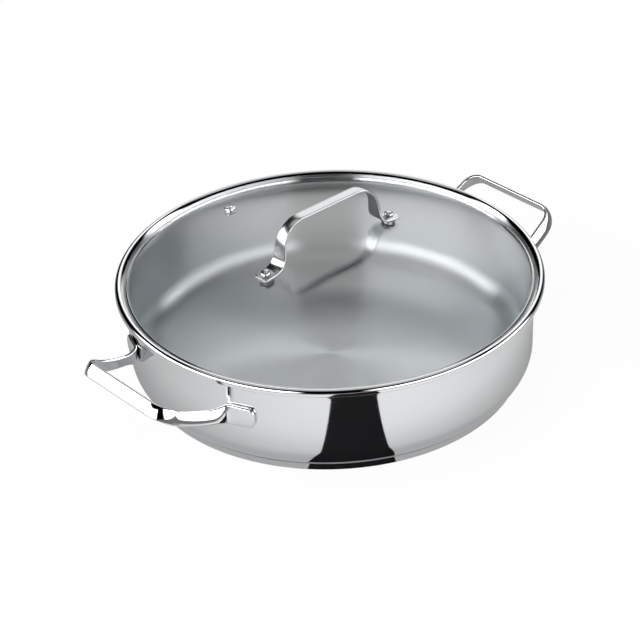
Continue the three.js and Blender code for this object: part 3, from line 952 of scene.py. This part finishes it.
def vent_outline(fastener, glass):
    """The eyelet: flange on the glass, funnel into the bore, tube, and turned-out tail."""
    f = fastener
    washer = -glass - f.gap - f.washer
    foot = washer - f.gap - f.vent_tail
    tail = f.vent_tube + f.vent_tail
    outline = [
        Vector((f.vent_bore, foot)),
        Vector((tail, foot)),
        Vector((tail, foot + f.vent_tail / 2)),
        Vector((f.vent_tube, foot + f.vent_tail)),
        Vector((f.vent_tube, f.gap)),
        Vector((f.vent_flange, f.gap)),
    ]
    outline += arc((f.vent_flange - f.vent_rise, f.gap), f.vent_rise, 0, 70, EDGE_STEPS)
    outline += arc((f.vent_bore + f.vent_rise, f.gap), f.vent_rise, 90, 180, EDGE_STEPS)
    return outline


def new_finish(name):
    """A material, its shader, and a wire that carries object coordinates."""
    material = bpy.data.materials.new(name)
    material.use_nodes = True
    tree = material.node_tree
    at = Wire(tree).node("ShaderNodeTexCoord", output="Object")
    return material, tree.nodes["Principled BSDF"], at


def set_sockets(shader, **values):
    """Sets or links a shader's sockets, named in lower case."""
    for name, value in values.items():
        socket = shader.inputs[name.replace("_", " ").title().replace("Ior", "IOR")]
        if isinstance(value, Wire):
            value.tree.links.new(value.socket, socket)
        elif hasattr(value, "__len__") and len(value) == 3:
            socket.default_value = (*value, 1.0)
        else:
            socket.default_value = value


def noise(at, scale, detail=2.0, rough=0.5):
    """Smooth noise from 0 to 1 at a place."""
    return at.node(
        "ShaderNodeTexNoise",
        inputs={"Vector": at, "Scale": scale, "Detail": detail, "Roughness": rough},
    )


def bumped(at, strength, depth, height):
    """A normal for a surface whose height varies by a depth in metres."""
    return at.node(
        "ShaderNodeBump", inputs={"Strength": strength, "Distance": depth, "Height": height}
    )


def shade(tint, level):
    """A colour made darker or lighter."""
    return tuple(min(1.0, level * c) for c in tint)


def tinted(mask, tint, low, high):
    """A colour that runs from one shade of it to another as a mask runs from 0 to 1."""
    return mask.node(
        "ShaderNodeMix",
        {"data_type": "RGBA"},
        {0: mask, 6: (*shade(tint, low), 1.0), 7: (*shade(tint, high), 1.0)},
        output=2,
    )


def ranged(mask, low, high):
    """A value that runs from low to high as a mask runs from 0 to 1."""
    return low + mask * (high - low)


def ring_lines(at, fine, reach):
    """Brush lines that run in rings: fine across the outline, long round it."""
    x, y, z = (at.node("ShaderNodeSeparateXYZ", inputs={"Vector": at}, output=k) for k in range(3))
    radius = at.math("SQRT", x * x + y * y + AXIS_GUARD)
    along = at.node(
        "ShaderNodeCombineXYZ",
        inputs={"X": (radius - z) * fine, "Y": x / radius * reach, "Z": y / radius * reach},
    )
    return noise(along, scale=1.0, detail=3.0, rough=0.6)


def strip_lines(at, wide, fine):
    """Polishing lines that lie level along a strip."""
    stretched = at.node("ShaderNodeMapping", inputs={"Vector": at, "Scale": (wide, wide, fine)})
    return noise(stretched, scale=1.0, detail=2.0)


def mirror_finish(name, tint, roughness, rings):
    """Polished steel: faint waves in the sheet, faint polishing lines, and a few dull smears."""
    material, shader, at = new_finish(name)
    waves = noise(at, scale=24.0, detail=1.0)
    smears = noise(at, scale=34.0, detail=4.0, rough=0.65)
    if rings:
        grain = ring_lines(at, fine=1400.0, reach=5.0)
    else:
        grain = strip_lines(at, wide=60.0, fine=900.0)
    set_sockets(
        shader,
        base_color=tinted(grain, tint, low=0.97, high=1.02),
        metallic=1.0,
        roughness=ranged(smears, low=roughness * 0.7, high=roughness * 1.6),
        normal=bumped(at, strength=0.5, depth=0.12 * MM, height=waves + grain * 0.02),
    )
    return material


def satin_finish(name, tint, roughness, grain_share):
    """Steel brushed in circles: fine ring lines with longer, softer bands between them."""
    material, shader, at = new_finish(name)
    fine = ring_lines(at, fine=1500.0, reach=4.0)
    bands = ring_lines(at, fine=260.0, reach=2.0)
    stains = noise(at, scale=16.0, detail=4.0, rough=0.6)
    lines = fine * 0.65 + bands * 0.35
    worn = bands * 0.6 + stains * 0.4
    set_sockets(
        shader,
        base_color=tinted(lines * 0.7 + stains * 0.3, tint, low=0.92, high=1.07),
        metallic=1.0,
        roughness=ranged(worn, low=roughness * 0.86, high=roughness * 1.14),
        anisotropic=grain_share,
        anisotropic_rotation=0.25,
        normal=bumped(at, strength=0.6, depth=0.02 * MM, height=lines),
    )
    return material


def glass_finish(name, tint, bend):
    """Clear tempered glass with the faintest wiping marks."""
    material, shader, at = new_finish(name)
    wiped = noise(at, scale=12.0, detail=5.0, rough=0.7)
    set_sockets(
        shader,
        base_color=tint,
        roughness=ranged(wiped, low=0.0, high=0.012),
        transmission_weight=1.0,
        ior=bend,
    )
    return material


def rubber_finish(name, tint):
    """Grey moulded gasket with a fine matt skin."""
    material, shader, at = new_finish(name)
    skin = noise(at, scale=2600.0, detail=3.0)
    set_sockets(
        shader,
        base_color=tinted(skin, tint, low=0.8, high=1.3),
        roughness=ranged(skin, low=0.5, high=0.7),
        normal=bumped(at, strength=0.4, depth=0.06 * MM, height=skin),
    )
    return material


def aluminium_finish(name, tint):
    """Bare aluminium, turned in rings."""
    material, shader, at = new_finish(name)
    rings = ring_lines(at, fine=1200.0, reach=3.0)
    set_sockets(
        shader,
        base_color=tinted(rings, tint, low=0.9, high=1.08),
        metallic=1.0,
        roughness=ranged(rings, low=0.4, high=0.6),
    )
    return material


def finish_of(name):
    """The named material, made the first time it is asked for."""
    found = bpy.data.materials.get(name)
    if found:
        return found
    f = bpy.context.scene.serving_pan.finish
    if name == "mirror_turned":
        return mirror_finish(name, f.mirror, f.mirror_roughness, rings=True)
    if name == "mirror_strip":
        return mirror_finish(name, f.mirror, f.mirror_roughness, rings=False)
    if name == "soft_turned":
        return mirror_finish(name, f.soft, f.soft_roughness, rings=True)
    if name == "soft_strip":
        return mirror_finish(name, f.soft, f.soft_roughness, rings=False)
    if name == "satin_turned":
        return satin_finish(name, f.satin, f.satin_roughness, f.satin_grain)
    if name == "clear_glass":
        return glass_finish(name, f.glass, f.glass_bend)
    if name == "gasket_rubber":
        return rubber_finish(name, f.rubber)
    return aluminium_finish(name, f.aluminium)


def line_with_satin(piece, faces_in):
    """Gives the brushed finish to the faces of a polished piece that face inwards."""
    piece.data.materials.append(finish_of("satin_turned"))
    for face in piece.data.polygons:
        if faces_in(face):
            face.material_index = 1


class SERVINGPAN_OT_pan_body(bpy.types.Operator):
    """Turn the drawn body with its flared, curled lip"""

    bl_idname = "servingpan.pan_body"
    bl_label = "Pan Body"

    def execute(self, context):
        pan = context.scene.serving_pan.pan
        outline, flare_top = pan_outline(pan)
        piece = settle(turned("pan", outline, finish_of("mirror_turned"), pan.segments))
        mouth = Vector((0.0, 0.0, pan.rim_height))

        def inside(face):
            return face.center.z < flare_top and face.normal.dot(mouth - face.center) > 0

        line_with_satin(piece, inside)
        carry(piece, "pan", "pan_steel", "pan_body")
        return {"FINISHED"}


class SERVINGPAN_OT_base(bpy.types.Operator):
    """Turn the base cap, and finish the core that it hides"""

    bl_idname = "servingpan.base"
    bl_label = "Base"

    def execute(self, context):
        pan = context.scene.serving_pan.pan
        piece = turned("base", cap_outline(pan), finish_of("mirror_turned"), pan.segments)
        carry(settle(piece), "pan", "polished_steel", "base_cap")
        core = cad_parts["base_core"].data
        core.materials.clear()
        core.materials.append(finish_of("bare_aluminium"))
        return {"FINISHED"}


class SERVINGPAN_OT_side_handles(bpy.types.Operator):
    """Bend the side handle's strip and stand it on both sides"""

    bl_idname = "servingpan.side_handles"
    bl_label = "Side Handles"

    def execute(self, context):
        sizes = context.scene.serving_pan
        grip = sizes.grip
        metal = finish_of("mirror_strip")
        stations = grip_stations(grip, sizes.pan)
        piece, section = strip("side_handles", stations, grip.arm_half_width, grip, metal)
        add_tree(piece, placed_tree, count=2, material=metal)
        settle(piece)
        bpy.data.objects.remove(section)
        carry(piece, "pan", "polished_steel", "side_handle_right", "side_handle_left")
        return {"FINISHED"}


def sphere_normals(piece, dome, thickness):
    """Shades the dome's two faces as true spheres, whatever the facets round its holes."""
    mesh = piece.data
    centre = Vector((0.0, 0.0, dome.centre))
    normals = [Vector(n.vector) for n in mesh.corner_normals]
    close = thickness / 20
    for face in mesh.polygons:
        depth = dome.radius - (face.center - centre).length
        outer = abs(depth) < close
        inner = abs(depth - thickness) < close
        if outer or inner:
            for loop in face.loop_indices:
                away = (mesh.vertices[mesh.loops[loop].vertex_index].co - centre).normalized()
                normals[loop] = away if outer else -away
    mesh.normals_split_custom_set(normals)


class SERVINGPAN_OT_lid_glass(bpy.types.Operator):
    """Turn the glass dome and drill its holes"""

    bl_idname = "servingpan.lid_glass"
    bl_label = "Lid Glass"

    def execute(self, context):
        sizes = context.scene.serving_pan
        lid, bow, fastener = sizes.lid, sizes.bow, sizes.fastener
        dome = Dome(lid)
        glass = finish_of("clear_glass")
        piece = turned("lid_glass_dome", glass_outline(lid), glass, sizes.pan.segments)
        vent_reach = lid.glass_radius - fastener.vent_inset
        drill = {
            "depth": DRILL_DEPTH * lid.glass_thickness,
            "crease": CREASE,
            "material": glass,
        }
        add_tree(
            piece,
            pierced_tree,
            count=2,
            bearing=0.0,
            hole=fastener.glass_hole,
            **drill,
            **dome.seat(bow.rivet_reach),
        )
        add_tree(
            piece,
            pierced_tree,
            count=1,
            bearing=math.pi / 2,
            hole=fastener.vent_tube + fastener.gap,
            **drill,
            **dome.seat(vent_reach),
        )
        settle(piece)
        sphere_normals(piece, dome, lid.glass_thickness)
        carry(piece, "lid", "lid_glass", "lid_glass")
        return {"FINISHED"}


class SERVINGPAN_OT_lid_band(bpy.types.Operator):
    """Turn the thin steel band round the glass edge"""

    bl_idname = "servingpan.lid_band"
    bl_label = "Lid Band"

    def execute(self, context):
        sizes = context.scene.serving_pan
        outline, middle = band_outline(sizes.lid)
        steel = finish_of("mirror_turned")
        piece = settle(turned("lid_band", outline, steel, sizes.pan.segments, closed=True))

        def in_channel(face):
            around = Vector((face.center.x, face.center.y, 0.0)).normalized() * middle.x
            around.z = middle.y
            return face.normal.dot(around - face.center) > 0

        line_with_satin(piece, in_channel)
        carry(piece, "lid", "polished_steel", "lid_rim_band")
        return {"FINISHED"}


def bow_stations(bow, dome, stack):
    """Stations of the bow: foot along the dome, leaning leg, level top, and the same back down."""
    tilt = dome.tilt(bow.rivet_reach)
    slope = Vector((math.cos(tilt), -math.sin(tilt)))
    normal = Vector((math.sin(tilt), math.cos(tilt)))
    foot = Vector((bow.rivet_reach, dome.height(bow.rivet_reach))) + normal * stack.foot
    heel = foot - slope * bow.heel
    top = bow.top - bow.crown - bow.thickness / 2
    corner = Vector((heel.x - (top - heel.y) * math.tan(bow.lean), top))
    toe = foot + slope * bow.toe
    corners = [toe, heel, corner, Vector((0.0, top))]
    half = rounded(corners, (bow.foot_bend, bow.top_bend), BOW_BEND_STEPS)
    tip = [toe - slope * bow.toe_corner * t for t in tip_shares(BOW_TIP_STEPS)]
    half = tip + eased([toe - slope * bow.toe_corner] + half[1:], BOW_FACET)
    path = half + [Vector((-p.x, p.y)) for p in reversed(half[:-1])]
    stations = []
    for p in reversed(path):
        run = (Vector((abs(p.x), p.y)) - toe).length
        narrow = smooth((p.y - dome.top - bow.taper_height) / bow.taper)
        width = bow.foot_half_width + (bow.top_half_width - bow.foot_half_width) * narrow
        width -= corner_loss(bow.toe_corner, run)
        place = Vector((p.x, 0.0, p.y))
        scale = bow.tip_scale if run < SAME_PLACE else 1.0
        stations.append(Station(place, Vector((0.0, 1.0, 0.0)), width, scale))
    return stations


class SERVINGPAN_OT_lid_bow(bpy.types.Operator):
    """Bend the bow handle and drill its feet"""

    bl_idname = "servingpan.lid_bow"
    bl_label = "Lid Bow"

    def execute(self, context):
        sizes = context.scene.serving_pan
        bow, fastener = sizes.bow, sizes.fastener
        dome = Dome(sizes.lid)
        metal = finish_of("soft_strip")
        stations = bow_stations(bow, dome, RivetStack(fastener, bow, sizes.lid))
        piece, section = strip("lid_bow", stations, bow.foot_half_width, bow, metal)
        add_tree(
            piece,
            pierced_tree,
            count=2,
            hole=fastener.shank_hole,
            depth=DRILL_DEPTH * bow.thickness,
            crease=CREASE,
            material=metal,
            **dome.seat(bow.rivet_reach),
        )
        settle(piece)
        bpy.data.objects.remove(section)
        carry(piece, "lid", "polished_steel", "lid_handle")
        return {"FINISHED"}


class SERVINGPAN_OT_rivets(bpy.types.Operator):
    """Turn a rivet, its gaskets and its washer, and stand them through both feet of the bow"""

    bl_idname = "servingpan.rivets"
    bl_label = "Rivets"

    def execute(self, context):
        sizes = context.scene.serving_pan
        bow, f = sizes.bow, sizes.fastener
        seat = Dome(sizes.lid).seat(bow.rivet_reach)
        levels = RivetStack(f, bow, sizes.lid)
        steel, rubber = finish_of("soft_turned"), finish_of("gasket_rubber")
        upper = ring_outline(f.shank_hole, f.gasket_radius, f.gap, f.gasket)
        lower = ring_outline(f.shank_hole, f.gasket_radius, levels.lower_gasket, f.lower_gasket)
        washer = ring_outline(f.shank_hole, f.washer_radius, levels.washer, f.washer)

        def stand(name, outline, closed, material, slot, node):
            piece = turned(name, outline, material, f.segments, closed=closed)
            add_tree(piece, placed_tree, count=2, material=material, **seat)
            carry(settle(piece), "lid", slot, node + "_right", node + "_left")

        rivet = rivet_outline(f, levels)
        stand("lid_rivets", rivet, False, steel, "polished_steel", "lid_rivet")
        stand("upper_gaskets", upper, True, rubber, "gasket", "upper_gasket")
        stand("lower_gaskets", lower, True, rubber, "gasket", "lower_gasket")
        stand("rivet_washers", washer, True, steel, "polished_steel", "rivet_washer")
        return {"FINISHED"}


class SERVINGPAN_OT_steam_vent(bpy.types.Operator):
    """Turn the vent's eyelet and washer and stand them through the glass"""

    bl_idname = "servingpan.steam_vent"
    bl_label = "Steam Vent"

    def execute(self, context):
        sizes = context.scene.serving_pan
        lid, f = sizes.lid, sizes.fastener
        seat = Dome(lid).seat(lid.glass_radius - f.vent_inset)
        steel = finish_of("mirror_turned")
        low = -lid.glass_thickness - f.gap - f.washer
        washer = ring_outline(f.vent_tube + f.gap, f.vent_flange, low, f.washer)
        parts = (
            ("steam_vent", vent_outline(f, lid.glass_thickness), "vent_eyelet"),
            ("steam_vent_washer", washer, "vent_washer"),
        )
        for name, outline, node in parts:
            piece = turned(name, outline, steel, f.segments, closed=True)
            add_tree(piece, placed_tree, count=1, bearing=math.pi / 2, material=steel, **seat)
            carry(settle(piece), "lid", "polished_steel", node)
        return {"FINISHED"}


def stage_sheet(name, width, depth, material, spread=0.0):
    """A flat sheet that belongs to the stage; its near left corner may spread outward."""
    w, d = width / 2, depth / 2
    mesh = bpy.data.meshes.new(name)
    mesh.from_pydata([(-w - spread, -d, 0), (w, -d, 0), (w, d, 0), (-w, d, 0)], [], [(0, 1, 2, 3)])
    mesh.materials.append(material)
    sheet = bpy.data.objects.new(name, mesh)
    bpy.context.scene.collection.objects.link(sheet)
    return sheet


def camera_axes(view):
    """The camera's place, and its right, up and back directions."""
    a, e = view.bearing, view.elevation
    back = Vector((math.sin(a) * math.cos(e), -math.cos(a) * math.cos(e), math.sin(e)))
    place = Vector((0.0, 0.0, view.aim_height)) + back * view.distance
    right = Vector((math.cos(a), math.sin(a), 0.0))
    up = back.cross(right)
    swing = Matrix.Rotation(view.swing, 3, up)
    right, back = swing @ right, swing @ back
    tilt = Matrix.Rotation(view.tilt, 3, right)
    up, back = tilt @ up, tilt @ back
    roll = Matrix.Rotation(view.roll, 3, -back)
    return place, roll @ right, roll @ up, back


def bounced(wire):
    """1 for light that steel or paper has sent on, 0 for a straight look, also through glass."""
    mirrored = wire.node("ShaderNodeLightPath", output="Glossy Depth")
    scattered = wire.node("ShaderNodeLightPath", output="Diffuse Depth")
    return wire.math("MINIMUM", mirrored + scattered, 1.0)


def soft_edge(wire, value, start, end):
    """0 at a value's start, 1 at its end, easing between; the end may be the lower of the two."""
    return wire.node(
        "ShaderNodeMapRange",
        {"interpolation_type": "SMOOTHSTEP"},
        {"Value": value, 1: start, 2: end},
    )


def distance_along(wire, direction):
    """How far a place lies along a direction."""
    return wire.node(
        "ShaderNodeVectorMath",
        {"operation": "DOT_PRODUCT"},
        {0: wire, 1: direction},
        output="Value",
    )


def diffuse(wire, tint):
    """A matt shader of one colour."""
    return wire.node("ShaderNodeBsdfDiffuse", inputs={"Color": (*tint, 1.0)})


def blend(wire, factor, first, second):
    """One shader where the factor is 0, another where it is 1."""
    return wire.node("ShaderNodeMixShader", inputs={0: factor, 1: first, 2: second})


def stage_finish(name, paint):
    """A stage material whose shader is put together by a function of a wire."""
    material = bpy.data.materials.new(name)
    material.use_nodes = True
    tree = material.node_tree
    tree.nodes.remove(tree.nodes["Principled BSDF"])
    tree.links.new(paint(Wire(tree)).socket, tree.nodes["Material Output"].inputs["Surface"])
    return material


def paper_finish(floor, level, side):
    """Pale floor: white with the pan's soft shadow, greyer in the steel and darker to the rear."""

    def paint(wire):
        at = wire.node("ShaderNodeTexCoord", output="Object")
        away = wire.node(
            "ShaderNodeVectorMath", {"operation": "LENGTH"}, {0: at}, output="Value"
        )
        clear = soft_edge(wire, away, *floor.shadow_end)
        white = wire.node("ShaderNodeEmission", inputs={"Color": (1.0, 1.0, 1.0, 1.0)})
        matt = diffuse(wire, floor.paper)
        plain = blend(wire, ranged(clear, floor.white, 1.0), matt, white)
        inner = ranged(soft_edge(wire, away, *floor.under_end), floor.under, 1.0)
        near = soft_edge(wire, away, *floor.glow_end) * inner
        sideways = distance_along(at, side) * floor.glow_right
        forward = distance_along(at, level) * floor.glow_front
        lit = floor.glow * near * (floor.glow_middle + sideways + forward)
        glow = wire.node("ShaderNodeEmission", inputs={"Color": lit})
        dull = diffuse(wire, shade(floor.paper, floor.dull))
        grey = wire.node("ShaderNodeAddShader", inputs={0: dull, 1: glow})
        return blend(wire, bounced(wire), plain, grey)

    return stage_finish("paper", paint)


def card_finish(tint):
    """Dull dark card, shown by the first steel that mirrors it and by no second one."""

    def paint(wire):
        mirrored = wire.node("ShaderNodeLightPath", output="Glossy Depth")
        first = wire.math("LESS_THAN", mirrored, 1.5)
        return blend(wire, first, wire.node("ShaderNodeBsdfTransparent"), diffuse(wire, tint))

    return stage_finish("card", paint)


def soft_panel(wire, bearing, panel):
    """How bright a panel is at a bearing, with softened sides."""
    off = wire.math("ABSOLUTE", wire.math("WRAP", bearing - panel.bearing, math.pi, -math.pi))
    end, full = panel.half_width + panel.softness, panel.half_width - panel.softness
    return soft_edge(wire, off, end, full) * panel.level


def studio_world(surround, level, side):
    """White to a straight look; to the steel, three panels and a dim light overhead."""
    world = bpy.data.worlds.new("studio")
    world.use_nodes = True
    tree = world.node_tree
    look = Wire(tree).node("ShaderNodeTexCoord", output="Generated")
    toward = distance_along(look, level)
    bearing = look.math("ARCTAN2", distance_along(look, side), toward)
    rise = look.math("ARCSINE", distance_along(look, Vector((0.0, 0.0, 1.0))))
    sides = soft_panel(look, bearing, surround.left) + soft_panel(look, bearing, surround.right)
    sides = sides * soft_edge(look, rise, *surround.side_foot)
    sides = sides * soft_edge(look, rise, *surround.side_top)
    rear = soft_panel(look, bearing, surround.rear)
    rear = rear * soft_edge(look, rise, *surround.rear_foot)
    rear = rear * soft_edge(look, rise, *surround.rear_top)
    fuller = ranged(soft_edge(look, rise, *surround.fuller), surround.low_share, 1.0)
    over = soft_edge(look, rise, *surround.over_rise)
    over = over * soft_edge(look, toward, *surround.over_depth) * surround.over_level
    lights = (sides + rear) * fuller + over
    shown = bounced(look)
    seen = 1.0 - shown + shown * lights
    tree.links.new(seen.socket, tree.nodes["Background"].inputs["Color"])
    return world


def hang_lamp(lamp, level):
    """The overhead lamp, turned to the pan and unseen in steel and through glass."""
    light = bpy.data.lights.new("overhead", "AREA")
    light.shape = "RECTANGLE"
    light.size = lamp.width
    light.size_y = lamp.depth
    light.energy = lamp.power
    hung = bpy.data.objects.new("overhead", light)
    hung.visible_glossy = False
    hung.visible_transmission = False
    place = level * -lamp.setback + Vector((-lamp.shift, 0.0, lamp.height))
    turn = place.to_track_quat("Z", "Y").to_matrix()
    hung.matrix_world = Matrix.Translation(place) @ turn.to_4x4()
    bpy.context.scene.collection.objects.link(hung)


def lay_card(card, level, side):
    """The dark card, seen only where steel mirrors it."""
    sheet = stage_sheet("dark_card", card.width, card.depth, card_finish(card.tint), card.spread)
    ahead = level * math.cos(card.turn) + side * math.sin(card.turn)
    upward = Vector((0.0, 0.0, 1.0))
    turn = Matrix((upward.cross(ahead), -ahead, upward)).transposed()
    place = side * -card.shift + ahead * card.reach + upward * card.lift
    sheet.matrix_world = Matrix.Translation(place) @ turn.to_4x4()
    sheet.visible_camera = False
    sheet.visible_diffuse = False
    sheet.visible_shadow = False
    sheet.visible_transmission = False


def stand_camera(view, place, turn):
    """The camera, in its place."""
    lens = bpy.data.cameras.new("camera")
    lens.sensor_width = view.sensor
    lens.lens = view.lens
    lens.clip_start = view.nearest
    lens.clip_end = view.farthest
    camera = bpy.data.objects.new("camera", lens)
    camera.matrix_world = Matrix.Translation(place) @ turn.to_4x4()
    bpy.context.scene.collection.objects.link(camera)
    bpy.context.scene.camera = camera


class SERVINGPAN_OT_stage(bpy.types.Operator):
    """Lay the floor, hang the lights and set the camera"""

    bl_idname = "servingpan.stage"
    bl_label = "Stage"

    def execute(self, context):
        scene = context.scene
        sizes = scene.serving_pan
        scene.view_settings.view_transform = "Standard"
        place, right, up, back = camera_axes(sizes.view)
        level = Vector((back.x, back.y, 0.0)).normalized()
        side = Vector((-level.y, level.x, 0.0))
        scene.world = studio_world(sizes.surround, level, side)
        paper = paper_finish(sizes.floor, level, side)
        stage_sheet("floor", sizes.floor.side, sizes.floor.side, paper)
        stand_camera(sizes.view, place, Matrix((right, up, back)).transposed())
        lay_card(sizes.card, level, side)
        hang_lamp(sizes.lamp, level)
        return {"FINISHED"}


class SERVINGPAN_PT_pieces(bpy.types.Panel):
    """Lists the pan's pieces"""

    bl_label = "Serving Pan"
    bl_idname = "SERVINGPAN_PT_pieces"
    bl_space_type = "VIEW_3D"
    bl_region_type = "UI"
    bl_category = "Serving Pan"

    def draw(self, context):
        column = self.layout.column()
        for operator in OPERATORS:
            column.operator(operator.bl_idname)


OPERATORS = (
    SERVINGPAN_OT_pan_body,
    SERVINGPAN_OT_base,
    SERVINGPAN_OT_side_handles,
    SERVINGPAN_OT_lid_glass,
    SERVINGPAN_OT_lid_band,
    SERVINGPAN_OT_lid_bow,
    SERVINGPAN_OT_rivets,
    SERVINGPAN_OT_steam_vent,
    SERVINGPAN_OT_stage,
)
GROUPS = (
    PanSizes,
    GripSizes,
    LidSizes,
    BowSizes,
    FastenerSizes,
    Finishes,
    LeftPanel,
    RightPanel,
    RearPanel,
    Surround,
    Floor,
    DarkCard,
    OverheadLamp,
    View,
    ServingPan,
)
CLASSES = (*GROUPS, *OPERATORS, SERVINGPAN_PT_pieces)


def register():
    """Makes the settings, the operators and the panel known to Blender."""
    for item in CLASSES:
        bpy.utils.register_class(item)
    bpy.types.Scene.serving_pan = PointerProperty(type=ServingPan)


def unregister():
    """Takes them out again."""
    del bpy.types.Scene.serving_pan
    for item in reversed(CLASSES):
        bpy.utils.unregister_class(item)


def main():
    """Builds every piece, then the stage."""
    register()
    for operator in OPERATORS:
        group, name = operator.bl_idname.split(".")
        getattr(getattr(bpy.ops, group), name)()


if __name__ == "__main__":
    main()
